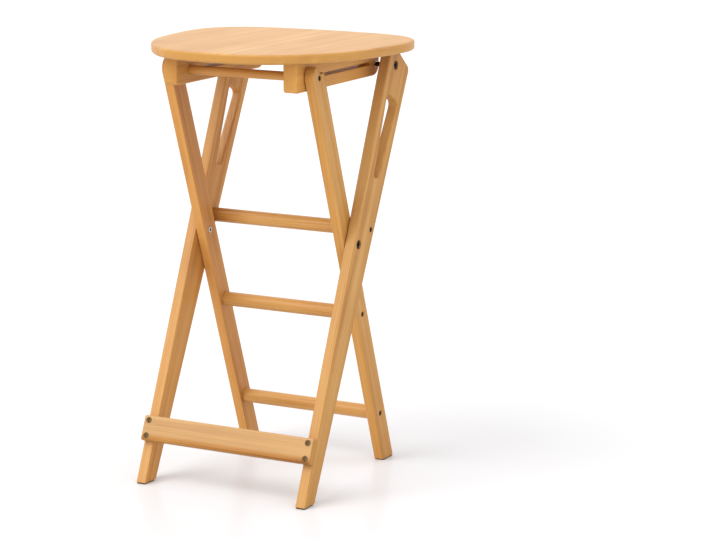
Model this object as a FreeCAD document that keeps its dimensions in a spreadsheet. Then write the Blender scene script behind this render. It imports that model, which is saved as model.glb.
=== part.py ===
import FreeCAD, Part
import Sketcher
import math
import os

# Folding bar stool.
# Frame: millimetres, +X to the sitter's right, -Y to the front, +Z up.
# Origin: on the floor, midway between the left and right legs and midway
# between the front and rear rims of the seat.
# The stool is drawn open, standing on its four feet.

V = FreeCAD.Vector
doc = FreeCAD.newDocument("folding_bar_stool")

# ------------------------------------------------------------------ dimensions
SIZES = [
    # seat
    ("seat_top", 750.0), ("seat_thick", 16.4), ("seat_edge", 3.8),
    # boards and legs: thickness, positions across the stool
    ("board_thick", 18.2), ("outer_face_x", 165.0), ("frame_gap", 0.8),
    ("edge_round", 1.8),
    # outer boards, side outline: edges are straight, y = y0 + slope * z
    ("front_y0", -190.75), ("front_slope", 0.4275),
    ("rear_y0", -155.20), ("rear_slope", 0.5006),
    ("glide_thick", 1.0), ("board_top_z", 730.6),
    ("board_top_rear_y", 146.5), ("board_shoulder_z", 692.0),
    ("board_top_round", 15.0), ("board_rear_round", 11.0), ("board_knuckle_round", 14.0),
    # grip opening of the outer boards
    ("grip_ft_y", 110.5), ("grip_ft_z", 658.0), ("grip_rt_y", 148.0), ("grip_rt_z", 637.5),
    ("grip_rb_y", 76.0), ("grip_rb_z", 517.5), ("grip_fb_y", 58.8), ("grip_fb_z", 519.0),
    ("grip_top_round", 9.0), ("grip_low_round", 6.0), ("grip_edge", 3.4),
    # inner legs, side outline
    ("leg_front_y0", 133.10), ("leg_front_slope", -0.3554),
    ("leg_rear_y0", 171.30), ("leg_rear_slope", -0.3540),
    ("leg_nose_z", 701.0), ("leg_nose_y2", -115.1), ("leg_nose_z2", 717.0),
    ("leg_crown_y", -107.2), ("leg_crown_z", 725.9),
    ("leg_notch_y", -93.1), ("leg_notch_z", 712.6), ("leg_notch_end_z", 714.4),
    # scissor pivot
    ("pivot_y", 3.1), ("pivot_z", 413.7), ("pivot_shank", 4.0), ("pivot_bore", 4.08),
    ("pivot_head", 7.0), ("pivot_sink", 8.3), ("pivot_sink_deep", 6.0), ("head_below", 1.5),
    ("barrel_bore", 4.95), ("barrel_outer", 4.85),
    # rungs
    ("rung_round", 12.35), ("upper_rung_y", 47.6), ("upper_rung_z", 432.2),
    ("mid_rung_y", 53.1), ("mid_rung_z", 281.4),
    ("low_rung_y", 120.7), ("low_rung_z", 89.1),
    # front rail, laid on the front edges of the outer boards
    ("rail_half", 164.2), ("rail_low_z", 68.5), ("rail_tall", 43.9), ("rail_thick", 14.0), ("rail_edge", 4.8),
    ("rail_screw_low", 8.4), ("rail_screw_high", 35.2), ("rail_screw_in", 8.7),
    ("rail_sink", 5.4), ("rail_screw_below", 0.5),
    # cleats below the seat
    ("cleat_in_x", 101.2), ("cleat_thick", 25.4), ("cleat_front_y", -140.4),
    ("cleat_rear_y", 151.5), ("cleat_low_z", 683.9), ("cleat_front_round", 6.0),
    ("cleat_rear_round", 20.0), ("cleat_edge", 2.4), ("slot_edge", 0.6),
    # cross dowel between the cleats; its screws run in their slots
    ("dowel_y", -97.9), ("dowel_z", 706.2), ("dowel_round", 7.6), ("dowel_gap", 0.35),
    ("slot_half", 2.8), ("slot_rear_y", 117.2),
    # seat hinge
    ("hinge_y", 140.15), ("hinge_z", 703.1), ("hinge_shank", 4.0), ("hinge_head", 7.0),
    ("hinge_gap", 0.6), ("insert_round", 6.0), ("insert_deep", 18.0),
    # screws
    ("screw_shank", 2.2), ("screw_hole", 2.35), ("screw_head", 4.7), ("screw_sink", 5.0),
    ("screw_below", 1.2), ("screw_sink_deep", 3.3),
]
sheet = doc.addObject("Spreadsheet::Sheet", "dims")
D = {}
for i, (alias, value) in enumerate(SIZES):
    cell = "B%d" % (i + 1)
    sheet.set("A%d" % (i + 1), alias)
    sheet.set(cell, repr(float(value)))
    sheet.setAlias(cell, alias)
    D[alias] = float(value)
doc.recompute()


# A quantity holds a number and the expression that gives it in the sheet, so a
# sketch is drawn in place and its size follows the sheet.
class Q(object):
    def __init__(self, val, txt):
        self.val = float(val)
        self.txt = txt

    @staticmethod
    def of(x):
        if isinstance(x, Q):
            return x
        return Q(x, "(%r)" % float(x))

    def __add__(self, o):
        o = Q.of(o)
        return Q(self.val + o.val, "(%s + %s)" % (self.txt, o.txt))

    __radd__ = __add__

    def __sub__(self, o):
        o = Q.of(o)
        return Q(self.val - o.val, "(%s - %s)" % (self.txt, o.txt))

    def __rsub__(self, o):
        return Q.of(o) - self

    def __mul__(self, o):
        o = Q.of(o)
        return Q(self.val * o.val, "(%s * %s)" % (self.txt, o.txt))

    __rmul__ = __mul__

    def __truediv__(self, o):
        o = Q.of(o)
        return Q(self.val / o.val, "(%s / %s)" % (self.txt, o.txt))

    def __neg__(self):
        return Q(-self.val, "(-1 * %s)" % self.txt)


def d(alias):
    return Q(D[alias], "dims.%s" % alias)


NODES = []


def bind(obj, prop, q):
    q = Q.of(q)
    obj.setExpression(prop, q.txt)
    return q.val


def new_body(label, node=True, many=False):
    b = doc.addObject("PartDesign::Body", label)
    b.Label = label
    if many:
        b.AllowCompound = True
    if node:
        NODES.append((label, b))
    return b


def place(b, x=0.0, y=0.0, z=0.0, rot=None):
    qx, qy, qz = Q.of(x), Q.of(y), Q.of(z)
    b.Placement = FreeCAD.Placement(V(qx.val, qy.val, qz.val), rot or FreeCAD.Rotation())
    b.setExpression("Placement.Base.x", qx.txt)
    b.setExpression("Placement.Base.y", qy.txt)
    b.setExpression("Placement.Base.z", qz.txt)


def plane(b, role):
    for o in b.Origin.OriginFeatures:
        if o.Role == role:
            return o


def new_sketch(b, name, role, off=None):
    s = b.newObject("Sketcher::SketchObject", name)
    s.AttachmentSupport = [(plane(b, role), "")]
    s.MapMode = "FlatFace"
    if off is not None:
        q = Q.of(off)
        s.AttachmentOffset = FreeCAD.Placement(V(0, 0, q.val), FreeCAD.Rotation())
        s.setExpression("AttachmentOffset.Base.z", q.txt)
    return s


def fix_point(s, geo, pos, x, y, tag):
    x, y = Q.of(x), Q.of(y)
    k = s.addConstraint(Sketcher.Constraint("DistanceX", -1, 1, geo, pos, x.val))
    s.renameConstraint(k, "px_" + tag)
    s.setExpression("Constraints.px_" + tag, x.txt)
    k = s.addConstraint(Sketcher.Constraint("DistanceY", -1, 1, geo, pos, y.val))
    s.renameConstraint(k, "py_" + tag)
    s.setExpression("Constraints.py_" + tag, y.txt)


def add_polygon(s, pts, tag="p"):
    base = s.GeometryCount
    pts = [(Q.of(a), Q.of(c)) for a, c in pts]
    n = len(pts)
    for i in range(n):
        a, c = pts[i], pts[(i + 1) % n]
        s.addGeometry(Part.LineSegment(V(a[0].val, a[1].val, 0), V(c[0].val, c[1].val, 0)), False)
    for i in range(n):
        s.addConstraint(Sketcher.Constraint("Coincident", base + i, 2, base + (i + 1) % n, 1))
    for i in range(n):
        fix_point(s, base + i, 1, pts[i][0], pts[i][1], "%s%d" % (tag, i))


def add_circle(s, x, y, r, tag="c"):
    x, y, r = Q.of(x), Q.of(y), Q.of(r)
    g = s.addGeometry(Part.Circle(V(x.val, y.val, 0), V(0, 0, 1), r.val), False)
    k = s.addConstraint(Sketcher.Constraint("Radius", g, r.val))
    s.renameConstraint(k, "rad_" + tag)
    s.setExpression("Constraints.rad_" + tag, r.txt)
    fix_point(s, g, 3, x, y, tag)


def pad(b, s, length, name, mid=False, back=False):
    f = b.newObject("PartDesign::Pad", name)
    f.Profile = s
    f.Length = Q.of(length).val
    bind(f, "Length", length)
    if mid:
        f.SideType = "Symmetric"
    f.Reversed = back
    doc.recompute()
    return f


def pocket(b, s, length, name, flip=False, through=False):
    before = b.Shape.Volume
    f = b.newObject("PartDesign::Pocket", name)
    f.Profile = s
    if through:
        f.Type = "ThroughAll"
        f.SideType = "Two sides"
        f.Type2 = "ThroughAll"
    else:
        f.Length = Q.of(length).val
        bind(f, "Length", length)
    f.Reversed = flip
    doc.recompute()
    if not (b.Shape.Volume < before - 1e-3):
        raise RuntimeError("pocket %s cut nothing" % name)
    return f


def revolve(b, s, name, cut=False):
    before = b.Shape.Volume if cut else 0.0
    f = b.newObject("PartDesign::Groove" if cut else "PartDesign::Revolution", name)
    f.Profile = s
    f.ReferenceAxis = (s, ["V_Axis"])
    f.Angle = 360.0
    doc.recompute()
    if cut and not (b.Shape.Volume < before - 1e-3):
        raise RuntimeError("groove %s cut nothing" % name)
    return f


def edges_at(feat, pts, axis, tol=0.05):
    # straight edges that run along one axis and pass over the given points
    found = []
    sh = feat.Shape
    for i, e in enumerate(sh.Edges):
        if len(e.Vertexes) != 2:
            continue
        a, c = e.Vertexes[0].Point, e.Vertexes[1].Point
        v = c - a
        if v.Length < 1e-6 or abs(abs(v.normalize()[axis]) - 1.0) > 1e-6:
            continue
        o = [k for k in (0, 1, 2) if k != axis]
        for p in pts:
            if abs(a[o[0]] - p[0]) < tol and abs(a[o[1]] - p[1]) < tol:
                found.append("Edge%d" % (i + 1))
                break
    return found


def fillet(b, feat, names, radius, name):
    f = b.newObject("PartDesign::Fillet", name)
    f.Base = (feat, names)
    f.Radius = Q.of(radius).val
    bind(f, "Radius", radius)
    doc.recompute()
    if "Invalid" in f.State or f.Shape.isNull() or not f.Shape.isValid():
        raise RuntimeError("fillet %s failed" % name)
    return f


def fillet_all(b, feat, radius, name):
    f = b.newObject("PartDesign::Fillet", name)
    f.Base = (feat, ["Edge1"])
    f.UseAllEdges = True
    f.Radius = Q.of(radius).val
    bind(f, "Radius", radius)
    doc.recompute()
    if "Invalid" in f.State or f.Shape.isNull() or not f.Shape.isValid():
        raise RuntimeError("fillet %s failed" % name)
    return f


ROT_TO_PLUS_X = FreeCAD.Rotation(V(0, 1, 0), 90)
ROT_TO_MINUS_X = FreeCAD.Rotation(V(0, 1, 0), -90)

# -------------------------------------------------------------------- positions
outer_in = d("outer_face_x") - d("board_thick")          # inner face of an outer board
leg_out = outer_in - d("frame_gap")                      # outer face of an inner leg
leg_in = leg_out - d("board_thick")                      # inner face of an inner leg
seat_under = d("seat_top") - d("seat_thick")
cleat_out = d("cleat_in_x") + d("cleat_thick")


def front_y(z):
    return d("front_y0") + d("front_slope") * Q.of(z)


def rear_y(z):
    return d("rear_y0") + d("rear_slope") * Q.of(z)


def leg_front_y(z):
    return d("leg_front_y0") + d("leg_front_slope") * Q.of(z)


def leg_rear_y(z):
    return d("leg_rear_y0") + d("leg_rear_slope") * Q.of(z)


# ------------------------------------------------------------------------- seat
# Outline of the seat, as distances from a point on its centre line: a rounded
# shield, widest behind the middle and narrower to the front.
SEAT_MID = 155.0 - 149.89
SEAT_WAVES = [227.615, -11.877, -6.078, 13.5, -9.892, 0.824, 1.648, -2.629]
SEAT_SCALE = 0.9361


def seat_outline(n):
    pts = []
    for i in range(n):
        a = 2 * math.pi * i / n
        r = sum(c * math.cos(j * a) for j, c in enumerate(SEAT_WAVES))
        x = r * math.sin(a) * SEAT_SCALE
        y = (SEAT_MID - r * math.cos(a) - 5.3) * SEAT_SCALE
        pts.append(V(x, y, 0))
    return pts


seat = new_body("seat_panel")
place(seat, 0, 0, seat_under)
s = new_sketch(seat, "seat_outline", "XY_Plane")
curve = Part.BSplineCurve()
curve.interpolate(seat_outline(40), PeriodicFlag=True)
s.addGeometry(curve, False)
s.addConstraint(Sketcher.Constraint("Block", 0))
seat_pad = pad(seat, s, d("seat_thick"), "seat_board")
fillet_all(seat, seat_pad, d("seat_edge"), "seat_rim_round")


# ----------------------------------------------------------------------- cleats
def make_cleat(side):
    tag = "right" if side > 0 else "left"
    b = new_body("cleat_" + tag)
    x0 = d("cleat_in_x") if side > 0 else -cleat_out
    place(b, x0, 0, 0)
    s = new_sketch(b, "cleat_outline_" + tag, "YZ_Plane")
    yf, yr, zl = d("cleat_front_y"), d("cleat_rear_y"), d("cleat_low_z")
    add_polygon(s, [(yf, zl), (yr, zl), (yr, seat_under), (yf, seat_under)])
    f = pad(b, s, d("cleat_thick"), "cleat_bar_" + tag)
    f = fillet(b, f, edges_at(f, [(yr.val, zl.val)], 0), d("cleat_rear_round"), "cleat_rear_" + tag)
    f = fillet(b, f, edges_at(f, [(yf.val, zl.val)], 0), d("cleat_front_round"), "cleat_front_" + tag)
    # slot for the screw of the cross dowel, parallel to the seat
    s = new_sketch(b, "slot_sketch_" + tag, "YZ_Plane")
    h = d("slot_half")
    y1, y2, zc = d("dowel_y"), d("slot_rear_y"), d("dowel_z")
    add_polygon(s, [(y1, zc - h), (y2, zc - h), (y2, zc + h), (y1, zc + h)])
    f = pocket(b, s, 0, "slot_" + tag, through=True)
    s = new_sketch(b, "slot_ends_sketch_" + tag, "YZ_Plane")
    add_circle(s, y1, zc, h, "front")
    add_circle(s, y2, zc, h, "rear")
    f = pocket(b, s, 0, "slot_ends_" + tag, through=True)
    # eased edges, on the long arrises of the bar and round the slot mouth
    def side_edges(feat, of_slot):
        names = []
        lo, hi = zc.val - h.val - 0.02, zc.val + h.val + 0.02
        for i, e in enumerate(feat.Shape.Edges):
            bb = e.BoundBox
            in_slot = bb.ZMin > lo and bb.ZMax < hi and bb.YMin > y1.val - h.val - 0.02 and bb.YMax < y2.val + h.val + 0.02
            if bb.XLength < 0.01 and bb.ZMax < seat_under.val - 0.5 and in_slot == of_slot:
                names.append("Edge%d" % (i + 1))
        return names

    f = fillet(b, f, side_edges(f, True), d("slot_edge"), "slot_eased_" + tag)
    # the eased arrises of the bar itself run out at the seat
    names = []
    for i, e in enumerate(f.Shape.Edges):
        bb = e.BoundBox
        flat = bb.XLength < 0.01 and (abs(bb.XMin) < 0.01 or abs(bb.XMin - D["cleat_thick"]) < 0.01)
        round_slot = (bb.ZMin > zc.val - h.val - D["slot_edge"] - 0.05 and bb.ZMax < zc.val + h.val + D["slot_edge"] + 0.05
                      and bb.YMin > y1.val - h.val - D["slot_edge"] - 0.05)
        if flat and not round_slot and bb.ZMin < seat_under.val - 0.5:
            names.append("Edge%d" % (i + 1))
    fillet(b, f, names, d("cleat_edge"), "cleat_eased_" + tag)
    # bore for the hinge insert, from the outer face
    xs = Q.of(d("cleat_thick")) if side > 0 else Q.of(0)
    s = new_sketch(b, "insert_bore_sketch_" + tag, "YZ_Plane", xs)
    add_circle(s, d("hinge_y"), d("hinge_z"), d("insert_round") + 0.1)
    pocket(b, s, d("insert_deep") + 0.2, "insert_bore_" + tag, flip=(side < 0))
    # screw hole through the solid front end, from below, and pin holes from above
    s = new_sketch(b, "screw_hole_sketch_" + tag, "XY_Plane", d("cleat_low_z"))
    add_circle(s, d("cleat_thick") / 2, d("cleat_front_y") + 17.0, d("screw_hole"))
    pocket(b, s, d("seat_top") - d("seat_thick") - d("cleat_low_z"), "screw_hole_" + tag, flip=True)
    s = new_sketch(b, "screw_well_sketch_" + tag, "XY_Plane", d("cleat_low_z"))
    add_circle(s, d("cleat_thick") / 2, d("cleat_front_y") + 17.0, d("screw_sink") + 0.4)
    pocket(b, s, 12.0, "screw_well_" + tag, flip=True)
    s = new_sketch(b, "pin_hole_sketch_" + tag, "XY_Plane", seat_under)
    for i, y in enumerate((-62.0, 58.0)):
        add_circle(s, d("cleat_thick") / 2, y, 4.1, "pin%d" % i)
    pocket(b, s, 15.2, "pin_holes_" + tag)
    return b


for side in (-1, 1):
    make_cleat(side)

# matching pin and screw holes in the underside of the seat
s = new_sketch(seat, "seat_pin_sketch", "XY_Plane")
k = 0
for side in (-1, 1):
    for y in (-62.0, 58.0):
        add_circle(s, side * (d("cleat_in_x") + d("cleat_thick") / 2), y, 4.1, "pin%d" % k)
        k += 1
pocket(seat, s, 10.2, "seat_pin_holes", flip=True)
s = new_sketch(seat, "seat_screw_sketch", "XY_Plane")
for side in (-1, 1):
    add_circle(s, side * (d("cleat_in_x") + d("cleat_thick") / 2), d("cleat_front_y") + 17.0,
               d("screw_hole"), "sc%d" % (side + 1))
pocket(seat, s, 11.4, "seat_screw_holes", flip=True)


# ---------------------------------------------------------------- outer boards
def make_outer(side):
    tag = "right" if side > 0 else "left"
    b = new_body("outer_leg_" + tag)
    x0 = outer_in if side > 0 else -d("outer_face_x")
    place(b, x0, 0, 0)
    zb, zt, zs = d("glide_thick"), d("board_top_z"), d("board_shoulder_z")
    pts = [(front_y(zb), zb), (rear_y(zb), zb), (rear_y(zs), zs), (d("board_top_rear_y"), zt), (front_y(zt), zt)]
    s = new_sketch(b, "board_outline_" + tag, "YZ_Plane")
    add_polygon(s, pts)
    f = pad(b, s, d("board_thick"), "board_" + tag)
    P = [(p[0].val, p[1].val) for p in pts]
    f = fillet(b, f, edges_at(f, [P[4]], 0), d("board_top_round"), "board_nose_" + tag)
    f = fillet(b, f, edges_at(f, [P[2]], 0), d("board_rear_round"), "board_shoulder_" + tag)
    f = fillet(b, f, edges_at(f, [P[3]], 0), d("board_knuckle_round"), "board_knuckle_" + tag)
    f = fillet(b, f, edges_at(f, [P[1]], 0), 5.0, "board_heel_" + tag)
    # tapered grip opening
    s = new_sketch(b, "grip_sketch_" + tag, "YZ_Plane")
    g = [(d("grip_ft_y"), d("grip_ft_z")), (d("grip_rt_y"), d("grip_rt_z")),
         (d("grip_rb_y"), d("grip_rb_z")), (d("grip_fb_y"), d("grip_fb_z"))]
    add_polygon(s, g)
    f = pocket(b, s, 0, "grip_" + tag, through=True)
    G = [(p[0].val, p[1].val) for p in g]
    f = fillet(b, f, edges_at(f, G[:2], 0), d("grip_top_round"), "grip_top_" + tag)
    f = fillet(b, f, edges_at(f, G[2:], 0), d("grip_low_round"), "grip_low_" + tag)
    # arrises of the opening are well rounded for the hand, those of the board are eased
    def arrises(feat, inside):
        names = []
        for i, e in enumerate(feat.Shape.Edges):
            bb = e.BoundBox
            if bb.XLength > 0.01 or min(abs(bb.XMin), abs(bb.XMin - D["board_thick"])) > 0.01:
                continue
            within = bb.YMin > 40.0 and bb.YMax < 162.0 and bb.ZMin > 500.0 and bb.ZMax < 675.0
            if within == inside:
                names.append("Edge%d" % (i + 1))
        return names

    f = fillet(b, f, arrises(f, True), d("grip_edge"), "grip_eased_" + tag)
    f = fillet(b, f, arrises(f, False) + edges_at(f, [P[0]], 0), d("edge_round"), "board_eased_" + tag)
    # bores: scissor pivot, seat hinge, upper rung screw; each is sunk from the outer face
    out = Q.of(d("board_thick")) if side > 0 else Q.of(0)
    flip = side < 0
    s = new_sketch(b, "bores_sketch_" + tag, "YZ_Plane", out)
    add_circle(s, d("pivot_y"), d("pivot_z"), d("pivot_bore"), "pv")
    add_circle(s, d("hinge_y"), d("hinge_z"), d("hinge_shank") + 0.08, "hg")
    add_circle(s, d("upper_rung_y"), d("upper_rung_z"), d("screw_hole"), "rg")
    pocket(b, s, d("board_thick"), "bores_" + tag, flip=flip)
    s = new_sketch(b, "sinks_sketch_" + tag, "YZ_Plane", out)
    add_circle(s, d("pivot_y"), d("pivot_z"), d("pivot_sink"), "pv")
    add_circle(s, d("hinge_y"), d("hinge_z"), d("pivot_sink"), "hg")
    pocket(b, s, d("pivot_sink_deep"), "sinks_" + tag, flip=flip)
    s = new_sketch(b, "screw_sink_sketch_" + tag, "YZ_Plane", out)
    add_circle(s, d("upper_rung_y"), d("upper_rung_z"), d("screw_sink"), "rg")
    pocket(b, s, d("screw_sink_deep"), "screw_sink_" + tag, flip=flip)
    return b


for side in (-1, 1):
    make_outer(side)


# ------------------------------------------------------------------ inner legs
def make_inner(side):
    tag = "right" if side > 0 else "left"
    b = new_body("inner_leg_" + tag)
    x0 = leg_in if side > 0 else -leg_out
    place(b, x0, 0, 0)
    zb = d("glide_thick")
    zn = d("leg_nose_z")
    ze = d("leg_notch_end_z")
    pts = [(leg_rear_y(zb), zb), (leg_rear_y(ze), ze), (d("leg_notch_y"), d("leg_notch_z")),
           (d("leg_crown_y"), d("leg_crown_z")), (leg_front_y(zn), zn), (leg_front_y(zb), zb)]
    P = [(Q.of(a), Q.of(c)) for a, c in pts]
    s = new_sketch(b, "leg_outline_" + tag, "YZ_Plane")
    n = len(P)
    nose = V(d("leg_nose_y2").val, d("leg_nose_z2").val, 0)
    for i in range(n):
        a = V(P[i][0].val, P[i][1].val, 0)
        c = V(P[(i + 1) % n][0].val, P[(i + 1) % n][1].val, 0)
        if i == 3:
            s.addGeometry(Part.Arc(a, nose, c), False)   # rounded nose over the cross dowel
        else:
            s.addGeometry(Part.LineSegment(a, c), False)
    for i in range(n):
        s.addConstraint(Sketcher.Constraint("Coincident", i, 2, (i + 1) % n, 1))
    for i in range(n):
        fix_point(s, i, 1, P[i][0], P[i][1], "p%d" % i)
    arc = s.Geometry[3]
    k = s.addConstraint(Sketcher.Constraint("Radius", 3, arc.Radius))
    f = pad(b, s, d("board_thick"), "leg_" + tag)
    f = fillet(b, f, edges_at(f, [(P[2][0].val, P[2][1].val)], 0), 3.0, "leg_notch_" + tag)
    f = fillet_all(b, f, d("edge_round"), "leg_eased_" + tag)
    out = Q.of(d("board_thick")) if side > 0 else Q.of(0)
    inn = Q.of(0) if side > 0 else Q.of(d("board_thick"))
    flip = side < 0
    s = new_sketch(b, "leg_bores_sketch_" + tag, "YZ_Plane", out)
    add_circle(s, d("pivot_y"), d("pivot_z"), d("barrel_bore"), "pv")
    add_circle(s, d("dowel_y"), d("dowel_z"), d("screw_hole"), "dw")
    add_circle(s, d("mid_rung_y"), d("mid_rung_z"), d("screw_hole"), "mr")
    add_circle(s, d("low_rung_y"), d("low_rung_z"), d("screw_hole"), "lr")
    pocket(b, s, d("board_thick"), "leg_bores_" + tag, flip=flip)
    s = new_sketch(b, "leg_sinks_sketch_" + tag, "YZ_Plane", out)
    add_circle(s, d("dowel_y"), d("dowel_z"), d("screw_sink"), "dw")
    add_circle(s, d("mid_rung_y"), d("mid_rung_z"), d("screw_sink"), "mr")
    add_circle(s, d("low_rung_y"), d("low_rung_z"), d("screw_sink"), "lr")
    pocket(b, s, d("screw_sink_deep"), "leg_sinks_" + tag, flip=flip)
    s = new_sketch(b, "leg_nut_sketch_" + tag, "YZ_Plane", inn)
    add_circle(s, d("pivot_y"), d("pivot_z"), 5.8, "pv")
    pocket(b, s, 1.6, "leg_nut_sink_" + tag, flip=(side > 0))
    return b


for side in (-1, 1):
    make_inner(side)


# ----------------------------------------------------------------------- rungs
def make_rung(label, y, z, r, half, hole_deep, hole_r):
    b = new_body(label)
    place(b, -Q.of(half), y, z)
    s = new_sketch(b, label + "_section", "YZ_Plane")
    add_circle(s, 0, 0, r)
    f = pad(b, s, half * 2, label + "_bar")
    names = ["Edge%d" % (i + 1) for i, e in enumerate(f.Shape.Edges)
             if e.BoundBox.XLength < 1e-6]
    fillet(b, f, names, 0.6, label + "_ends")
    s = new_sketch(b, label + "_hole_a", "YZ_Plane")
    add_circle(s, 0, 0, hole_r)
    pocket(b, s, hole_deep, label + "_hole_left", flip=True)
    s = new_sketch(b, label + "_hole_b", "YZ_Plane", half * 2)
    add_circle(s, 0, 0, hole_r)
    pocket(b, s, hole_deep, label + "_hole_right")
    return b


make_rung("upper_rung", d("upper_rung_y"), d("upper_rung_z"), d("rung_round"), outer_in, 32.0, d("screw_hole"))
make_rung("middle_rung", d("mid_rung_y"), d("mid_rung_z"), d("rung_round"), leg_in, 32.0, d("screw_hole"))
make_rung("lower_rung", d("low_rung_y"), d("low_rung_z"), d("rung_round"), leg_in, 32.0, d("screw_hole"))
make_rung("cross_dowel", d("dowel_y"), d("dowel_z"), d("dowel_round"), d("cleat_in_x") - d("dowel_gap"), 30.0,
          d("screw_shank") + 0.06)

# ------------------------------------------------------------------ front rail
# The rail leans with the boards: local +Y runs square out from their front
# edges, local +Z runs up along them.
LEAN = math.degrees(math.atan(D["front_slope"]))
rail_rot = FreeCAD.Rotation(V(1, 0, 0), -LEAN)
rail = new_body("front_rail")
place(rail, -d("rail_half"), front_y(d("rail_low_z")), d("rail_low_z"), rail_rot)
s = new_sketch(rail, "rail_section", "YZ_Plane")
add_polygon(s, [(-d("rail_thick"), 0.0), (0.0, 0.0), (0.0, d("rail_tall")), (-d("rail_thick"), d("rail_tall"))])
f = pad(rail, s, d("rail_half") * 2, "rail_bar")
names = edges_at(f, [(-D["rail_thick"], 0.0), (-D["rail_thick"], D["rail_tall"])], 0)
f = fillet(rail, f, names, d("rail_edge"), "rail_front_edges")
s = new_sketch(rail, "rail_holes_sketch", "XZ_Plane")
k = 0
for hx in (d("rail_screw_in"), d("rail_half") * 2 - d("rail_screw_in")):
    for hz in (d("rail_screw_low"), d("rail_screw_high")):
        add_circle(s, hx, hz, d("screw_hole"), "h%d" % k)
        k += 1
pocket(rail, s, d("rail_thick"), "rail_holes", flip=True)
s = new_sketch(rail, "rail_sinks_sketch", "XZ_Plane", d("rail_thick"))
k = 0
for hx in (d("rail_screw_in"), d("rail_half") * 2 - d("rail_screw_in")):
    for hz in (d("rail_screw_low"), d("rail_screw_high")):
        add_circle(s, hx, hz, d("rail_sink"), "h%d" % k)
        k += 1
pocket(rail, s, d("rail_screw_below") + 2.0, "rail_sinks")

# pilot holes for the rail screws in the outer boards
for tag, side in (("left", -1), ("right", 1)):
    b = doc.getObject("outer_leg_" + tag)
    before = b.Shape.Volume
    for j, hz in enumerate((D["rail_screw_low"], D["rail_screw_high"])):
        u = V(0, math.sin(math.radians(LEAN)), math.cos(math.radians(LEAN)))
        nrm = V(0, -u.z, u.y)
        base = V(0, front_y(d("rail_low_z")).val, D["rail_low_z"]) + u * hz
        xin = D["outer_face_x"] - D["rail_half"] + D["rail_screw_in"]
        xloc = D["board_thick"] - xin if side > 0 else xin
        hole = b.newObject("PartDesign::SubtractiveCylinder", "rail_pilot_%s_%d" % (tag, j))
        hole.Radius = D["screw_hole"]
        hole.setExpression("Radius", "dims.screw_hole")
        hole.Height = 29.0
        hole.Placement = FreeCAD.Placement(V(xloc, base.y, base.z) + nrm * 1.0,
                                           FreeCAD.Rotation(V(0, 0, 1), nrm * -1))
        doc.recompute()
    if not (b.Shape.Volume < before - 10):
        raise RuntimeError("rail pilot holes cut nothing")


# --------------------------------------------------------------------- fasteners
def add_hex(s, across, tag="hx"):
    r = across / 2.0 / math.cos(math.pi / 6)
    add_polygon(s, [(r * math.cos(math.pi / 3 * i), r * math.sin(math.pi / 3 * i)) for i in range(6)], tag)


def add_cross(s, span, wide, tag="cr"):
    a, w = span / 2.0, wide / 2.0
    add_polygon(s, [(a, -w), (a, w), (w, w), (w, a), (-w, a), (-w, w), (-a, w), (-a, -w), (-w, -w), (-w, -a),
                    (w, -a), (w, -w)], tag)


# Flat-head wood screw: turned about its own Z axis, head face at z = 0, pointing down.
def make_screw(name, length, span=5.0, wide=1.2, deep=1.4):
    b = new_body(name, node=False)
    s = new_sketch(b, name + "_profile", "XZ_Plane")
    hr, sr = d("screw_head"), d("screw_shank")
    add_polygon(s, [(0.0, 0.0), (hr - 0.35, 0.0), (hr, -0.35), (hr, -0.75), (sr, -1.95),
                    (sr, -(length - 4.0)), (0.35, -length), (0.0, -length)])
    revolve(b, s, name + "_turned")
    s = new_sketch(b, name + "_drive", "XY_Plane")
    add_cross(s, span, wide)
    pocket(b, s, deep, name + "_recess")
    return b


def group(label, bodies):
    c = doc.addObject("Part::Compound", label)
    c.Label = label
    c.Links = bodies
    NODES.append((label, c))
    doc.recompute()
    return c


# rung and dowel screws, one at each end
def screw_pair(label, y, z, face, length):
    made = []
    for side in (-1, 1):
        b = make_screw("%s_%s" % (label[:-1], "r" if side > 0 else "l"), length)
        place(b, face * side, y, z, ROT_TO_PLUS_X if side > 0 else ROT_TO_MINUS_X)
        made.append(b)
    return group(label, made)


screw_pair("upper_rung_screws", d("upper_rung_y"), d("upper_rung_z"),
           d("outer_face_x") - d("screw_below"), 42.0)
screw_pair("middle_rung_screws", d("mid_rung_y"), d("mid_rung_z"), leg_out - d("screw_below"), 42.0)
screw_pair("lower_rung_screws", d("low_rung_y"), d("low_rung_z"), leg_out - d("screw_below"), 42.0)
screw_pair("cross_dowel_screws", d("dowel_y"), d("dowel_z"), leg_out - d("screw_below"), 69.0)

nrm = V(0, -math.cos(math.radians(LEAN)), math.sin(math.radians(LEAN)))
u = V(0, math.sin(math.radians(LEAN)), math.cos(math.radians(LEAN)))
made = []
for i, side in enumerate((-1, 1)):
    for j, key in enumerate(("rail_screw_low", "rail_screw_high")):
        b = make_screw("rail_screw_%d%d" % (i, j), 36.0, 6.2, 2.4, 1.8)
        cs, sn = math.cos(math.radians(LEAN)), math.sin(math.radians(LEAN))
        deep = d("rail_thick") - d("rail_screw_below")
        place(b, side * (d("rail_half") - d("rail_screw_in")),
              front_y(d("rail_low_z")) + d(key) * sn - deep * cs,
              d("rail_low_z") + d(key) * cs + deep * sn,
              FreeCAD.Rotation(V(0, 0, 1), nrm))
        made.append(b)
group("front_rail_screws", made)

made = []
for side in (-1, 1):
    b = make_screw("cleat_screw_%s" % ("r" if side > 0 else "l"), 46.0)
    place(b, side * (d("cleat_in_x") + d("cleat_thick") / 2), d("cleat_front_y") + 17.0, d("cleat_low_z") + 10.0,
          FreeCAD.Rotation(V(1, 0, 0), 180))
    made.append(b)
group("cleat_screws", made)

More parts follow.
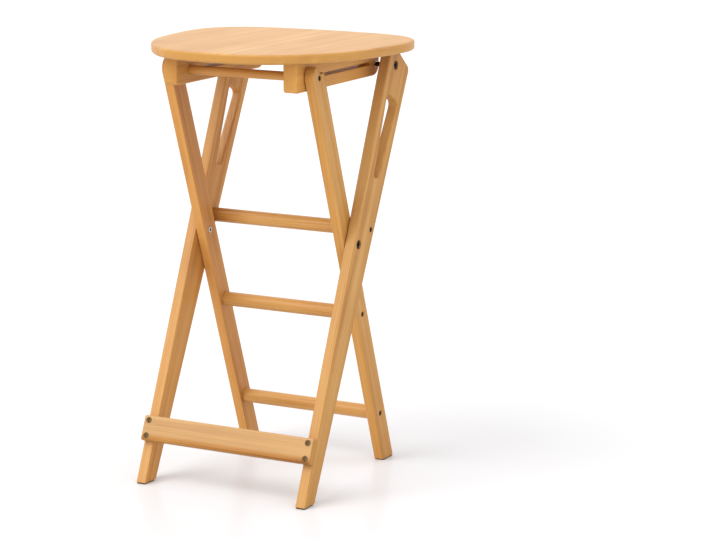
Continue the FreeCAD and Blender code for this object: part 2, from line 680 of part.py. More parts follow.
# glued pins between the cleats and the seat
made = []
k = 0
for side in (-1, 1):
    for y in (-62.0, 58.0):
        c = doc.addObject("Part::Cylinder", "pin_%d" % k)
        c.Radius = 4.0
        c.Height = 24.6
        c.Placement = FreeCAD.Placement(V(side * (D["cleat_in_x"] + D["cleat_thick"] / 2), y, 0), FreeCAD.Rotation())
        c.setExpression("Placement.Base.z", "dims.seat_top - dims.seat_thick - 14.8")
        made.append(c)
        k += 1
group("cleat_dowel_pins", made)


# Scissor pivot bolt: domed head with a hex socket on the outer face, smooth shank
# through the board into the sleeve nut, which turns in the inner leg.
def make_pivot(side):
    tag = "right" if side > 0 else "left"
    b = new_body("pivot_bolt_" + tag)
    x_top = d("outer_face_x") - d("head_below")
    place(b, x_top * side, d("pivot_y"), d("pivot_z"), ROT_TO_PLUS_X if side > 0 else ROT_TO_MINUS_X)
    hr, sr = d("pivot_head"), d("pivot_shank")
    under = -(d("pivot_sink_deep") - d("head_below"))
    s = new_sketch(b, "pivot_profile_" + tag, "XZ_Plane")
    add_polygon(s, [(0.0, 0.0), (hr - 1.1, 0.0), (hr - 0.3, -0.35), (hr, -1.0), (hr, under),
                    (sr, under), (sr, under - (d("board_thick") - d("pivot_sink_deep"))),
                    (3.0, under - (d("board_thick") - d("pivot_sink_deep"))),
                    (3.0, under - (d("board_thick") - d("pivot_sink_deep")) - 12.2),
                    (0.0, under - (d("board_thick") - d("pivot_sink_deep")) - 12.2)])
    revolve(b, s, "pivot_turned_" + tag)
    s = new_sketch(b, "pivot_socket_sketch_" + tag, "XY_Plane")
    add_hex(s, 5.6)
    pocket(b, s, 2.6, "pivot_socket_" + tag)
    n = new_body("pivot_nut_" + tag)
    x_in = leg_in - 0.9
    place(n, x_in * side, d("pivot_y"), d("pivot_z"), ROT_TO_PLUS_X if side < 0 else ROT_TO_MINUS_X)
    # outer end of the sleeve stops at the board's inner face, its flange sits in the inner leg
    s = new_sketch(n, "nut_profile_" + tag, "XZ_Plane")
    full = d("board_thick") + d("frame_gap") + 0.9
    add_polygon(s, [(0.0, 0.0), (4.9, 0.0), (5.4, -0.5), (5.4, -2.2), (d("barrel_outer"), -2.2),
                    (d("barrel_outer"), -full), (3.1, -full), (3.1, -5.2), (0.0, -5.2)])
    revolve(n, s, "nut_turned_" + tag)
    s = new_sketch(n, "nut_slot_sketch_" + tag, "XY_Plane")
    add_hex(s, 5.6)
    pocket(n, s, 3.8, "nut_socket_" + tag)


for side in (-1, 1):
    make_pivot(side)

# thin washers in the gap between the boards and the inner legs
made = []
for side in (-1, 1):
    b = new_body("pivot_washer_%s" % ("r" if side > 0 else "l"), node=False)
    place(b, (leg_out + 0.1) if side > 0 else -(leg_out + 0.1) - 0.6, d("pivot_y"), d("pivot_z"))
    s = new_sketch(b, b.Label + "_ring", "YZ_Plane")
    add_circle(s, 0, 0, 9.5, "o")
    add_circle(s, 0, 0, d("barrel_outer") + 0.15, "i")
    pad(b, s, 0.6, b.Label + "_disc")
    made.append(b)
group("pivot_washers", made)


# Seat hinge bolt: the same head, a smooth shank across the gap to the cleat.
def make_hinge(side):
    tag = "right" if side > 0 else "left"
    b = new_body("seat_hinge_bolt_" + tag)
    x_top = d("outer_face_x") - d("head_below")
    place(b, x_top * side, d("hinge_y"), d("hinge_z"), ROT_TO_PLUS_X if side > 0 else ROT_TO_MINUS_X)
    hr, sr = d("hinge_head"), d("hinge_shank")
    under = -(d("pivot_sink_deep") - d("head_below"))
    end = -(x_top - cleat_out - d("hinge_gap"))
    s = new_sketch(b, "hinge_profile_" + tag, "XZ_Plane")
    add_polygon(s, [(0.0, 0.0), (hr - 1.1, 0.0), (hr - 0.3, -0.35), (hr, -1.0), (hr, under),
                    (sr, under), (sr, end + 0.6), (sr - 0.6, end), (0.0, end)])
    revolve(b, s, "hinge_turned_" + tag)
    s = new_sketch(b, "hinge_socket_sketch_" + tag, "XY_Plane")
    add_hex(s, 5.6)
    pocket(b, s, 2.6, "hinge_socket_" + tag)
    # threaded insert in the cleat, flush with its outer face
    n = new_body("seat_hinge_insert_" + tag)
    place(n, cleat_out * side, d("hinge_y"), d("hinge_z"), ROT_TO_PLUS_X if side > 0 else ROT_TO_MINUS_X)
    s = new_sketch(n, "insert_profile_" + tag, "XZ_Plane")
    ir = d("insert_round")
    add_polygon(s, [(3.0, -0.1), (ir - 0.4, -0.1), (ir, -0.5), (ir, -d("insert_deep")), (0.0, -d("insert_deep")),
                    (0.0, -(d("insert_deep") - 2.0)), (3.0, -(d("insert_deep") - 2.0))])
    revolve(n, s, "insert_turned_" + tag)


for side in (-1, 1):
    make_hinge(side)


# --------------------------------------------------------------------- glides
# Thin pads under the feet, set in a little from the wood.
def make_glides(label, y_front, y_rear, x_mid):
    made = []
    w = d("board_thick") / 2 - 0.9
    for side in (-1, 1):
        b = new_body("%s_%s" % (label[:-1], "r" if side > 0 else "l"), node=False)
        place(b, side * x_mid, 0, 0)
        s = new_sketch(b, b.Label + "_plan", "XY_Plane")
        add_polygon(s, [(-w, y_front), (w, y_front), (w, y_rear), (-w, y_rear)])
        f = pad(b, s, d("glide_thick"), b.Label + "_pad")
        v = w.val
        fillet(b, f, edges_at(f, [(-v, y_front.val), (v, y_front.val), (v, y_rear.val), (-v, y_rear.val)], 2),
               1.5, b.Label + "_corners")
        made.append(b)
    return group(label, made)


half_board = d("board_thick") / 2
make_glides("outer_foot_glides", front_y(1.0) + 1.0, rear_y(1.0) - 4.2, outer_in + half_board)
make_glides("inner_foot_glides", leg_front_y(1.0) + 1.0, leg_rear_y(1.0) - 1.0, leg_in + half_board)

# ----------------------------------------------------------------------- checks
doc.recompute()
bad = []
for o in doc.Objects:
    if "Invalid" in o.State or "Error" in o.State:
        bad.append("%s: %s" % (o.Name, o.State))
for label, o in NODES:
    sh = o.Shape
    if sh.isNull() or not sh.isValid() or not sh.Solids:
        bad.append("%s: shape is not a valid solid" % label)
if bad:
    raise RuntimeError("; ".join(bad))

os.makedirs("parts", exist_ok=True)
for label, o in NODES:
    o.Shape.exportStep(os.path.join("parts", label + ".step"))
print("nodes:", len(NODES))
for label, o in NODES:
    bb = o.Shape.BoundBox
    print("%-26s solids %d  x %.1f %.1f  y %.1f %.1f  z %.1f %.1f  vol %.0f" % (
        label, len(o.Shape.Solids), bb.XMin, bb.XMax, bb.YMin, bb.YMax, bb.ZMin, bb.ZMax, o.Shape.Volume))
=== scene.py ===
import math

import bpy
from mathutils import Matrix, Vector

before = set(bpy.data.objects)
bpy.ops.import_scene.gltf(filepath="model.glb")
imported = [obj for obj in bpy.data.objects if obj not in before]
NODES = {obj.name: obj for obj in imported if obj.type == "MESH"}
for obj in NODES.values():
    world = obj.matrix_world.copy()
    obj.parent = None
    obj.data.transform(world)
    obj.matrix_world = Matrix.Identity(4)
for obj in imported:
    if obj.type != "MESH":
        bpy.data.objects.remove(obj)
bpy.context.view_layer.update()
scene = bpy.context.scene


# ----------------------------------------------------------------- node helpers
class Tree:
    """Small helper that adds shader nodes and links in one call."""

    def __init__(self, name):
        self.mat = bpy.data.materials.new(name)
        self.mat.use_nodes = True
        self.nt = self.mat.node_tree
        self.nt.nodes.clear()
        self.x = 0

    def add(self, kind, **props):
        n = self.nt.nodes.new(kind)
        self.x += 180
        n.location = (self.x, 0)
        for k, v in props.items():
            setattr(n, k, v)
        return n

    def put(self, socket, value):
        if value is None:
            return
        if isinstance(value, bpy.types.NodeSocket):
            self.nt.links.new(value, socket)
        else:
            socket.default_value = value

    def math(self, op, a, b=None, c=None, clamp=False):
        n = self.add("ShaderNodeMath", operation=op, use_clamp=clamp)
        for i, v in enumerate((a, b, c)):
            self.put(n.inputs[i], v)
        return n.outputs[0]

    def vmath(self, op, a, b=None, scale=None):
        n = self.add("ShaderNodeVectorMath", operation=op)
        self.put(n.inputs[0], a)
        if b is not None:
            self.put(n.inputs[1], b)
        if scale is not None:
            self.put(n.inputs["Scale"], scale)
        return n.outputs["Value"] if op in ("DOT_PRODUCT", "LENGTH", "DISTANCE") else n.outputs["Vector"]

    def noise(self, vec, scale=1.0, detail=2.0, rough=0.5, distort=0.0, dims="3D"):
        n = self.add("ShaderNodeTexNoise", noise_dimensions=dims)
        if dims == "1D":
            self.put(n.inputs["W"], vec)
        else:
            self.put(n.inputs["Vector"], vec)
        n.inputs["Scale"].default_value = scale
        n.inputs["Detail"].default_value = detail
        n.inputs["Roughness"].default_value = rough
        n.inputs["Distortion"].default_value = distort
        return n.outputs["Fac"] if "Fac" in n.outputs else n.outputs[0]

    def ramp(self, fac, stops, interp="LINEAR"):
        n = self.add("ShaderNodeValToRGB")
        cr = n.color_ramp
        cr.interpolation = interp
        while len(cr.elements) > 1:
            cr.elements.remove(cr.elements[-1])
        cr.elements[0].position = stops[0][0]
        cr.elements[0].color = stops[0][1]
        for p, c in stops[1:]:
            cr.elements.new(p).color = c
        self.put(n.inputs["Fac"], fac)
        return n.outputs["Color"]

    def remap(self, v, a, b, c, d, smooth=False):
        n = self.add("ShaderNodeMapRange")
        n.clamp = True
        if smooth:
            n.interpolation_type = "SMOOTHSTEP"
        self.put(n.inputs["Value"], v)
        for key, x in (("From Min", a), ("From Max", b), ("To Min", c), ("To Max", d)):
            n.inputs[key].default_value = x
        return n.outputs["Result"]

    def mix(self, fac, a, b, blend="MIX"):
        n = self.add("ShaderNodeMix", data_type="RGBA", blend_type=blend)
        n.clamp_factor = True
        self.put(n.inputs["Factor"], fac)
        self.put([s for s in n.inputs if s.name == "A" and s.type == "RGBA"][0], a)
        self.put([s for s in n.inputs if s.name == "B" and s.type == "RGBA"][0], b)
        return [s for s in n.outputs if s.type == "RGBA"][0]

    def scaled(self, vec, x, y, z):
        return self.vmath("MULTIPLY", vec, (x, y, z))

    def bump(self, height, strength, distance, normal=None):
        n = self.add("ShaderNodeBump")
        n.inputs["Strength"].default_value = strength
        n.inputs["Distance"].default_value = distance
        self.put(n.inputs["Height"], height)
        if normal is not None:
            self.put(n.inputs["Normal"], normal)
        return n.outputs["Normal"]

    def edge(self, radius, low, high):
        """1 on convex or concave arrises, 0 on flats."""
        b = self.add("ShaderNodeBevel", samples=4)
        b.inputs["Radius"].default_value = radius
        g = self.add("ShaderNodeNewGeometry")
        dot = self.vmath("DOT_PRODUCT", b.outputs["Normal"], g.outputs["Normal"])
        return self.remap(dot, high, low, 0.0, 1.0, smooth=True)

    def finish(self, bsdf):
        out = self.add("ShaderNodeOutputMaterial")
        self.nt.links.new(bsdf.outputs["BSDF"], out.inputs["Surface"])
        return self.mat


def lin(r, g, b):
    """sRGB 0-255 to a linear colour."""
    def f(c):
        c = c / 255.0
        return c / 12.92 if c <= 0.04045 else ((c + 0.055) / 1.055) ** 2.4
    return (f(r), f(g), f(b), 1.0)


def grey(v):
    return (v, v, v, 1.0)


def axes(grain, face):
    """Rotation that takes the face normal to X, the width to Y and the grain to Z."""
    g = Vector(grain).normalized()
    f = Vector(face).normalized()
    f = (f - g * f.dot(g)).normalized()
    w = g.cross(f)
    return Matrix((f, w, g)).to_euler("XYZ")


# ------------------------------------------------------------------------- wood
# Clear-lacquered light hardwood: growth rings as a solid pattern, broad soft
# streaks, fine fibres, short dark flecks, and glued staves in the seat.
def wood(name, grain, face, seed, pale=1.0, warm=0.0, pith=(0.06, 0.05), ring=0.0034, staves=None, tone=1.0,
         streak=1.0, fine=1.0, wave=0.030, ior=1.30, coat=0.0, level=0.36, ash=0.0,
         gloss=0.0, band=None, stain=None, side=None, dg=1.0, db=1.0, underside_shade_and_rim=False):
    t = Tree(name)
    tc = t.add("ShaderNodeTexCoord")
    mp = t.add("ShaderNodeMapping")
    t.put(mp.inputs["Vector"], tc.outputs["Object"])
    mp.inputs["Rotation"].default_value = axes(grain, face)
    mp.inputs["Location"].default_value = (0.0, 0.0, 0.0)
    p = mp.outputs["Vector"]

    if staves:
        # tone and pattern offset of each glued stave, from its place across the board
        sep = t.add("ShaderNodeSeparateXYZ")
        t.put(sep.inputs[0], p)
        across = t.math("MULTIPLY_ADD", sep.outputs["Y"], 1.0 / 0.46, 0.5)
        stops = [(max(0.0, pos), grey(val)) for pos, val in staves]
        st = t.ramp(across, stops, "CONSTANT")
        bw = t.add("ShaderNodeRGBToBW")
        t.put(bw.inputs[0], st)
        stave = bw.outputs[0]
        jump = t.add("ShaderNodeCombineXYZ")
        t.put(jump.inputs[0], t.math("MULTIPLY", stave, 0.9))
        t.put(jump.inputs[1], t.math("MULTIPLY", stave, 0.37))
        t.put(jump.inputs[2], t.math("MULTIPLY", stave, 7.3))
        p = t.vmath("ADD", p, jump.outputs[0])
    p = t.vmath("ADD", p, (0.31 * seed, 0.17 * seed, 0.73 * seed))

    # growth rings: distance from a pith line beside the board, bent by slow noise
    slow = t.noise(t.scaled(p, 9.0, 9.0, 1.3), 1.0, 2.0, 0.5)
    sep = t.add("ShaderNodeSeparateXYZ")
    t.put(sep.inputs[0], mp.outputs["Vector"])
    rx = t.math("ADD", sep.outputs["X"], pith[0])
    ry = t.math("ADD", sep.outputs["Y"], pith[1])
    rr = t.math("SQRT", t.math("ADD", t.math("MULTIPLY", rx, rx), t.math("MULTIPLY", ry, ry)))
    rr = t.math("ADD", rr, t.math("MULTIPLY", slow, wave))
    if staves:
        rr = t.math("ADD", rr, t.math("MULTIPLY", stave, 0.11))
    # ring width varies from year to year
    years = t.noise(rr, 34.0, 2.0, 0.6, dims="1D")
    cyc = t.math("ADD", t.math("DIVIDE", rr, ring), t.math("MULTIPLY", years, 2.6))
    saw = t.math("FRACT", cyc)
    late = t.remap(saw, 0.35, 0.94, 0.0, 1.0, smooth=True)
    drop = t.remap(saw, 0.94, 1.0, 1.0, 0.0)
    rings = t.math("MULTIPLY", late, drop)
    ring_amp = t.remap(t.noise(t.math("ADD", rr, 3.1 + seed), 60.0, 1.0, 0.5, dims="1D"), 0.3, 0.7, 0.25, 1.0)
    rings = t.math("MULTIPLY", rings, ring_amp)

    broad = t.noise(t.scaled(p, 75.0, 75.0, 1.6), 1.0, 3.0, 0.55, 0.2)
    mid = t.noise(t.scaled(p, 260.0, 260.0, 5.0), 1.0, 3.0, 0.55)
    fibre = t.noise(t.scaled(p, 1500.0, 1500.0, 26.0), 1.0, 2.0, 0.6)
    cloud = t.noise(p, 7.0, 2.0, 0.5)

    # short dark pores drawn out along the grain
    vo = t.add("ShaderNodeTexVoronoi", feature="F1")
    t.put(vo.inputs["Vector"], t.scaled(p, 900.0, 900.0, 85.0))
    vo.inputs["Scale"].default_value = 1.0
    vo.inputs["Randomness"].default_value = 1.0
    pore = t.remap(vo.outputs["Distance"], 0.10, 0.26, 1.0, 0.0, smooth=True)
    where = t.remap(t.noise(t.scaled(p, 420.0, 420.0, 18.0), 1.0, 1.0, 0.5), 0.52, 0.66, 0.0, 1.0)
    pore = t.math("MULTIPLY", pore, where)

    # one darkness value from all of these
    v = t.math("MULTIPLY", t.math("SUBTRACT", broad, 0.5), 0.95 * streak)
    v = t.math("MULTIPLY_ADD", t.math("SUBTRACT", mid, 0.5), 0.42 * streak, v)
    v = t.math("MULTIPLY_ADD", t.math("SUBTRACT", fibre, 0.5), 0.30 * fine, v)
    v = t.math("MULTIPLY_ADD", rings, 0.30 * fine, v)
    v = t.math("MULTIPLY_ADD", t.math("SUBTRACT", cloud, 0.5), 0.55, v)
    v = t.math("MULTIPLY_ADD", pore, 0.30 * fine, v)
    if staves:
        v = t.math("MULTIPLY_ADD", t.math("SUBTRACT", stave, 0.5), 0.26, v)

    if band:
        # painted shade: a darker, warmer band along the board's lower long edge, where less light reaches it
        lower_shade_mask = t.remap(sep.outputs["Y"], band[0], band[1], 1.0, 0.0, smooth=True)
        v = t.math("MULTIPLY_ADD", lower_shade_mask, band[2], v)

    if stain:
        # painted shade: a darker length at one end, where the piece meets the leg, along with darker wood
        v = t.math("ADD", v, t.remap(sep.outputs["Z"], stain[0], stain[1], stain[2], 0.0, smooth=True))

    up = t.vmath("DOT_PRODUCT", tc.outputs["Normal"], tuple(Vector(face).normalized()))
    if underside_shade_and_rim:
        # painted shade: downward-facing faces of the seat darker and deeper in colour
        v = t.math("MULTIPLY_ADD", t.remap(up, -0.70, -0.95, 0.0, 1.0, smooth=True), 0.30, v)

    # end grain shows little of the figure and is a touch darker
    gdir = Vector(grain).normalized()
    facing = t.math("ABSOLUTE", t.vmath("DOT_PRODUCT", tc.outputs["Normal"], tuple(gdir)))
    end = t.remap(facing, 0.80, 0.97, 0.0, 1.0, smooth=True)
    v = t.math("MULTIPLY", v, t.math("MULTIPLY_ADD", end, -0.75, 1.0))
    v = t.math("ADD", t.math("MULTIPLY_ADD", end, 0.05, v), level, clamp=True)

    k, w = 0.92 * pale * tone, warm
    gk, bk = dg * k, db * k
    light = (0.660 * k, (0.366 + 0.012 * w) * gk, (0.120 - 0.010 * w) * bk, 1.0)
    honey = (0.562 * k, 0.280 * gk, (0.070 - 0.005 * w) * bk, 1.0)
    amber = (0.448 * k, 0.194 * gk, (0.042 - 0.004 * w) * bk, 1.0)
    brown = (0.290 * k, 0.107 * gk, 0.022 * bk, 1.0)
    col = t.ramp(v, [(0.0, light), (0.36, honey), (0.70, amber), (1.0, brown)], "EASE")

    if ash:
        # paler, greyer boards; their end grain and the painted shade along the lower edge keep the warm tone
        pale_part = t.math("MULTIPLY_ADD", end, -ash, ash)
        if band:
            pale_part = t.math("MULTIPLY", pale_part, t.math("SUBTRACT", 1.0, lower_shade_mask))
        col = t.mix(pale_part, col, (0.64 * k, 0.45 * k, 0.26 * k, 1.0))
    if side:
        # the narrow edges of the board, cut across the rings, differ from its faces
        fdir = Vector(face).normalized()
        wdir = gdir.cross((fdir - gdir * fdir.dot(gdir)).normalized())
        narrow = t.math("ABSOLUTE", t.vmath("DOT_PRODUCT", tc.outputs["Normal"], tuple(wdir)))
        narrow = t.math("MULTIPLY", t.remap(narrow, 0.75, 0.97, 0.0, 1.0, smooth=True), side[0])
        col = t.mix(narrow, col, (side[1] * k, side[2] * k, side[3] * k, 1.0))

    if underside_shade_and_rim:
        # the turned rim is warmer, with less blue, than the flat top and the underside
        rim = t.remap(t.math("ABSOLUTE", up), 0.35, 0.85, 1.0, 0.0, smooth=True)
        col = t.mix(rim, col, (1.03, 1.00, 0.86, 1.0), "MULTIPLY")

    # arrises: lacquer sanded thin, a little paler and drier
    edge = t.edge(0.0022, 0.72, 0.97)
    patch = t.remap(t.noise(p, 38.0, 3.0, 0.6), 0.38, 0.62, 0.15, 1.0)
    edge = t.math("MULTIPLY", edge, patch)
    col = t.mix(t.math("MULTIPLY", edge, 0.30), col, (0.70 * k, 0.42 * k, 0.18 * k, 1.0))

    rough = t.math("MULTIPLY_ADD", t.math("SUBTRACT", broad, 0.5), 0.10, 0.42 - gloss)
    rough = t.math("MULTIPLY_ADD", end, 0.14, rough)
    rough = t.math("MULTIPLY_ADD", pore, 0.12, rough)
    rough = t.math("MULTIPLY_ADD", edge, 0.06, rough)

    h = t.math("MULTIPLY_ADD", fibre, 0.5, t.math("MULTIPLY", rings, -0.35))
    h = t.math("MULTIPLY_ADD", pore, -0.9, h)
    nrm = t.bump(h, 0.22, 0.00022)
    orange = t.noise(p, 210.0, 1.0, 0.5)
    nrm = t.bump(orange, 0.10, 0.0006, nrm)

    bs = t.add("ShaderNodeBsdfPrincipled")
    t.put(bs.inputs["Base Color"], col)
    t.put(bs.inputs["Roughness"], rough)
    t.put(bs.inputs["Normal"], nrm)
    bs.inputs["IOR"].default_value = ior
    bs.inputs["Coat Weight"].default_value = coat
    bs.inputs["Coat Roughness"].default_value = 0.22
    bs.inputs["Coat IOR"].default_value = 1.45
    return t.finish(bs)


# ----------------------------------------------------------------------- metals
def black_steel(name, seed):
    """Black-oxide steel: soft sheen, faint mottling, rims rubbed to grey."""
    t = Tree(name)
    tc = t.add("ShaderNodeTexCoord")
    p = t.vmath("ADD", tc.outputs["Object"], (0.13 * seed, 0.07 * seed, 0.0))
    mott = t.noise(p, 620.0, 3.0, 0.6)
    fine = t.noise(p, 3800.0, 2.0, 0.5)
    col = t.ramp(mott, [(0.30, (0.003, 0.003, 0.004, 1)), (0.55, (0.005, 0.005, 0.007, 1)),
                        (0.80, (0.010, 0.010, 0.013, 1))])
    edge = t.edge(0.0006, 0.70, 0.96)
    edge = t.math("MULTIPLY", edge, t.remap(t.noise(p, 900.0, 2.0, 0.6), 0.45, 0.60, 0.0, 1.0))
    col = t.mix(t.math("MULTIPLY", edge, 0.25), col, (0.06, 0.06, 0.07, 1))
    rough = t.math("MULTIPLY_ADD", mott, 0.22, 0.42)
    bs = t.add("ShaderNodeBsdfPrincipled")
    t.put(bs.inputs["Base Color"], col)
    t.put(bs.inputs["Roughness"], rough)
    t.put(bs.inputs["Normal"], t.bump(fine, 0.18, 0.00008))
    bs.inputs["IOR"].default_value = 1.28
    return t.finish(bs)


def bright_steel(name, seed, tint=(0.62, 0.54, 0.45), ring_shade_and_dull=0.0):
    """Zinc-plated steel with turning marks and a few dull blooms."""
    t = Tree(name)
    tc = t.add("ShaderNodeTexCoord")
    p = t.vmath("ADD", tc.outputs["Object"], (0.11 * seed, 0.05 * seed, 0.0))
    bloom = t.noise(p, 480.0, 3.0, 0.6)
    lines = t.noise(t.scaled(p, 5200.0, 260.0, 260.0), 1.0, 2.0, 0.5)
    r, g, b = tint
    col = t.ramp(bloom, [(0.30, (r * 0.72, g * 0.72, b * 0.70, 1)), (0.62, (r, g, b, 1)),
                         (0.85, (r * 1.12, g * 1.12, b * 1.10, 1))])
    if ring_shade_and_dull:
        # painted shade: a dark ring in the recess and round the rim of the head
        ring_shade_mask = t.math("MULTIPLY", t.edge(0.0011, 0.60, 0.99), ring_shade_and_dull)
        col = t.mix(ring_shade_mask, col, (r * 0.12, g * 0.11, b * 0.10, 1))
    rough = t.math("MULTIPLY_ADD", lines, 0.16, t.math("MULTIPLY_ADD", bloom, 0.18, 0.16 + 0.20 * ring_shade_and_dull))
    bs = t.add("ShaderNodeBsdfPrincipled")
    t.put(bs.inputs["Base Color"], col)
    t.put(bs.inputs["Roughness"], rough)
    t.put(bs.inputs["Normal"], t.bump(lines, 0.20, 0.00006))
    bs.inputs["Metallic"].default_value = 1.0
    return t.finish(bs)


def nylon(name):
    t = Tree(name)
    tc = t.add("ShaderNodeTexCoord")
    n = t.noise(tc.outputs["Object"], 700.0, 3.0, 0.55)
    col = t.ramp(n, [(0.25, (0.62, 0.60, 0.55, 1)), (0.75, (0.76, 0.74, 0.69, 1))])
    bs = t.add("ShaderNodeBsdfPrincipled")
    t.put(bs.inputs["Base Color"], col)
    t.put(bs.inputs["Roughness"], t.math("MULTIPLY_ADD", n, 0.2, 0.42))
    t.put(bs.inputs["Normal"], t.bump(t.noise(tc.outputs["Object"], 2600.0, 2.0, 0.5), 0.15, 0.0001))
    return t.finish(bs)


def rubber(name):
    t = Tree(name)
    tc = t.add("ShaderNodeTexCoord")
    n = t.noise(tc.outputs["Object"], 320.0, 4.0, 0.6)
    grit = t.noise(tc.outputs["Object"], 2400.0, 2.0, 0.6)
    col = t.ramp(n, [(0.25, (0.030, 0.026, 0.022, 1)), (0.60, (0.050, 0.043, 0.036, 1)),
                     (0.85, (0.110, 0.096, 0.080, 1))])
    bs = t.add("ShaderNodeBsdfPrincipled")
    t.put(bs.inputs["Base Color"], col)
    t.put(bs.inputs["Roughness"], t.math("MULTIPLY_ADD", grit, 0.2, 0.62))
    t.put(bs.inputs["Normal"], t.bump(grit, 0.35, 0.00015))
    return t.finish(bs)


def floor_mat(name):
    t = Tree(name)
    tc = t.add("ShaderNodeTexCoord")
    n = t.noise(tc.outputs["Object"], 3.0, 3.0, 0.5)
    col = t.ramp(n, [(0.2, (0.676, 0.674, 0.688, 1)), (0.8, (0.684, 0.682, 0.696, 1))])
    bs = t.add("ShaderNodeBsdfPrincipled")
    t.put(bs.inputs["Base Color"], col)
    bs.inputs["Roughness"].default_value = 0.20
    bs.inputs["IOR"].default_value = 1.10
    return t.finish(bs)


# ------------------------------------------------------ which piece gets which
X, Y, Z = (1, 0, 0), (0, 1, 0), (0, 0, 1)
OUTER = (0.0, 0.4605, 1.0)       # along the outer boards
INNER = (0.0, -0.3547, 1.0)      # along the inner legs
RAILF = (0.0, -0.9195, 0.3931)   # square out of the rail

SEAT_STAVES = [(0.0, 0.42), (0.115, 0.66), (0.235, 0.38), (0.345, 0.60), (0.455, 0.30), (0.570, 0.64),
               (0.665, 0.44), (0.780, 0.72), (0.885, 0.40)]

WOODS = {
    # the seat panel gets painted shade on its underside
    "seat_panel": dict(grain=Y, face=Z, seed=1.0, pith=(0.09, 0.02), ring=0.0040, staves=SEAT_STAVES, streak=0.6,
                       fine=0.5, ior=1.40, coat=0.05, level=0.30, tone=0.98, underside_shade_and_rim=True),
    "cleat_left": dict(grain=Y, face=X, seed=2.0, pith=(0.07, 0.05), tone=1.10, dg=0.97, db=0.92),
    "cleat_right": dict(grain=Y, face=X, seed=3.0, pith=(0.05, -0.06), tone=1.22),
    "outer_leg_left": dict(grain=OUTER, face=X, seed=4.0, pith=(0.20, 0.21), tone=1.03, streak=1.2, dg=0.95, db=0.92,
                           side=(0.30, 0.60, 0.37, 0.18)),
    "outer_leg_right": dict(grain=OUTER, face=X, seed=5.0, pith=(-0.21, 0.20), tone=0.98, warm=0.5, streak=1.2,
                            side=(0.28, 0.64, 0.38, 0.18)),
    "inner_leg_left": dict(grain=INNER, face=X, seed=6.0, pith=(0.19, 0.22), tone=1.0, streak=1.2, dg=0.93,
                           side=(0.36, 0.87, 0.42, 0.10)),
    "inner_leg_right": dict(grain=INNER, face=X, seed=7.0, pith=(-0.20, -0.23), tone=0.98, streak=1.2,
                            side=(0.24, 0.87, 0.40, 0.10)),
    "upper_rung": dict(grain=X, face=Y, seed=8.0, pith=(-0.02, -0.41), tone=1.12, ior=1.42, gloss=0.06),
    "middle_rung": dict(grain=X, face=Y, seed=9.0, pith=(-0.03, -0.25), tone=1.08, ior=1.42, gloss=0.06),
    "lower_rung": dict(grain=X, face=Y, seed=10.0, pith=(-0.10, -0.07), tone=1.10, ior=1.42, gloss=0.06),
    "cross_dowel": dict(grain=X, face=Y, seed=11.0, pith=(0.12, -0.68), tone=1.15, dg=0.94, db=0.87, ior=1.38, gloss=0.04),
    "front_rail": dict(grain=X, face=RAILF, seed=12.0, pith=(-0.02, 0.36), tone=0.95, streak=1.3, fine=1.4, wave=0.010, ash=0.36),
    "cleat_dowel_pins": dict(grain=Z, face=X, seed=13.0, tone=1.02),
}
METALS = {
    "upper_rung_screws": ("black", 1), "middle_rung_screws": ("black", 2), "lower_rung_screws": ("black", 3),
    "cross_dowel_screws": ("black", 4), "front_rail_screws": ("bronze_shade_ringed", 5), "pivot_bolt_left": ("black", 6),
    "pivot_bolt_right": ("black", 7), "seat_hinge_bolt_left": ("black", 8), "seat_hinge_bolt_right": ("black", 9),
    "pivot_nut_left": ("bright", 10), "pivot_nut_right": ("bright", 11), "seat_hinge_insert_left": ("bright", 12),
    "seat_hinge_insert_right": ("bright", 13), "cleat_screws": ("bright", 14),
}


def low_edge(o, grain, face, near, far):
    """Places across the width of a board, near and far above its lower long edge."""
    g = Vector(grain).normalized()
    f = Vector(face).normalized()
    f = (f - g * f.dot(g)).normalized()
    w = g.cross(f)
    at = [v.co.dot(w) for v in o.data.vertices]
    return (min(at) + near, min(at) + far) if w.z > 0 else (max(at) - near, max(at) - far)


# painted shade along the lower long edge of the front rail
WOODS["front_rail"]["band"] = low_edge(NODES["front_rail"], X, RAILF, 0.006, 0.0145) + (0.30,)
ends = [v.co.x for v in NODES["upper_rung"].data.vertices]
# painted shade at the left end of the upper rung beside the leg, with darker wood
WOODS["upper_rung"]["stain"] = (min(ends) + 0.022, min(ends) + 0.092, 0.50)

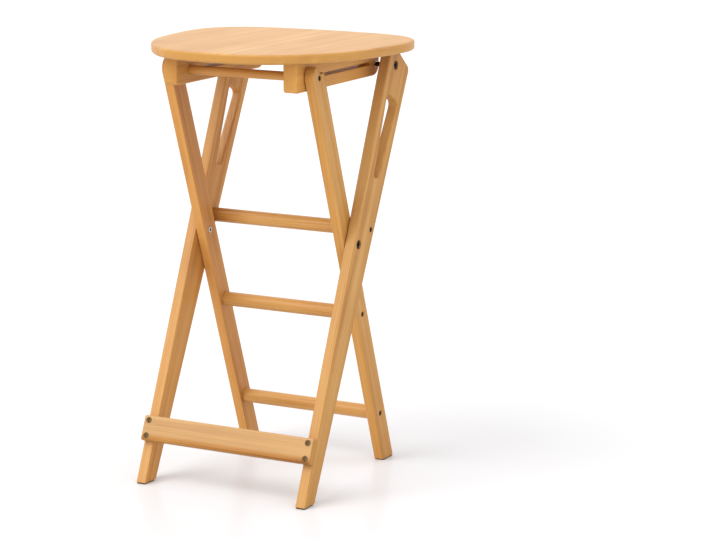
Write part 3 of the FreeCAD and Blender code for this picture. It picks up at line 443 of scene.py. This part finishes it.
made = {}
for node, o in NODES.items():
    if node in WOODS:
        m = wood("wood_" + node, **WOODS[node])
    elif node in METALS:
        kind, seed = METALS[node]
        if kind == "black":
            m = black_steel("black_steel_" + node, seed)
        elif kind == "bronze_shade_ringed":
            # bronze-brown screw heads with a painted shade ring round them
            m = bright_steel("aged_steel_" + node, seed, (0.215, 0.142, 0.070), 1.0)
        else:
            m = bright_steel("bright_steel_" + node, seed)
    elif node == "pivot_washers":
        m = nylon("nylon_washer")
    else:
        m = made.get("rubber") or rubber("glide_rubber")
        made["rubber"] = m
    if not o.material_slots:
        o.data.materials.append(m)
    for s in o.material_slots:
        s.material = m

# -------------------------------------------------------------- floor and light
n = 96
verts = [(0.0, 0.0, 0.0)]
rings = (0.6, 1.5, 4.0, 12.0, 40.0)
for r in rings:
    verts += [(r * math.cos(2 * math.pi * i / n), r * math.sin(2 * math.pi * i / n), 0.0) for i in range(n)]
faces = [(0, 1 + i, 1 + (i + 1) % n) for i in range(n)]
for j in range(len(rings) - 1):
    a, b = 1 + j * n, 1 + (j + 1) * n
    faces += [(a + i, b + i, b + (i + 1) % n, a + (i + 1) % n) for i in range(n)]
me = bpy.data.meshes.new("studio_floor")
me.from_pydata(verts, [], faces)
me.update()
floor = bpy.data.objects.new("studio_floor", me)
floor.location.z = -0.0004
scene.collection.objects.link(floor)
me.materials.append(floor_mat("studio_floor"))


sun = bpy.data.lights.new("key", "SUN")
sun.energy = 1.5
sun.angle = math.radians(40.0)
sun.color = (1.0, 0.99, 0.97)
sun_ob = bpy.data.objects.new("key", sun)
sun_ob.rotation_euler = Vector((-0.36, -0.52, 0.775)).to_track_quat("Z", "Y").to_euler()
scene.collection.objects.link(sun_ob)

world = bpy.data.worlds.new("studio")
scene.world = world
world.use_nodes = True
bg = world.node_tree.nodes["Background"]
bg.inputs["Color"].default_value = (1.0, 1.0, 1.0, 1.0)
bg.inputs["Strength"].default_value = 1.25

# ----------------------------------------------------------------------- camera
cam_data = bpy.data.cameras.new("camera")
cam = bpy.data.objects.new("camera", cam_data)
scene.collection.objects.link(cam)
cam.location = (2.0440, -3.5697, 1.2124)
cam.rotation_euler = (math.pi / 2 - 0.2057, 0.0, 0.4845)
cam_data.sensor_fit = "HORIZONTAL"
cam_data.sensor_width = 36.0
cam_data.lens = 122.57
cam_data.clip_start = 0.05
cam_data.clip_end = 200.0
cam_data.dof.use_dof = False
scene.camera = cam

scene.view_settings.view_transform = "Standard"
scene.view_settings.look = "None"
scene.view_settings.exposure = 0.0
scene.view_settings.gamma = 1.0
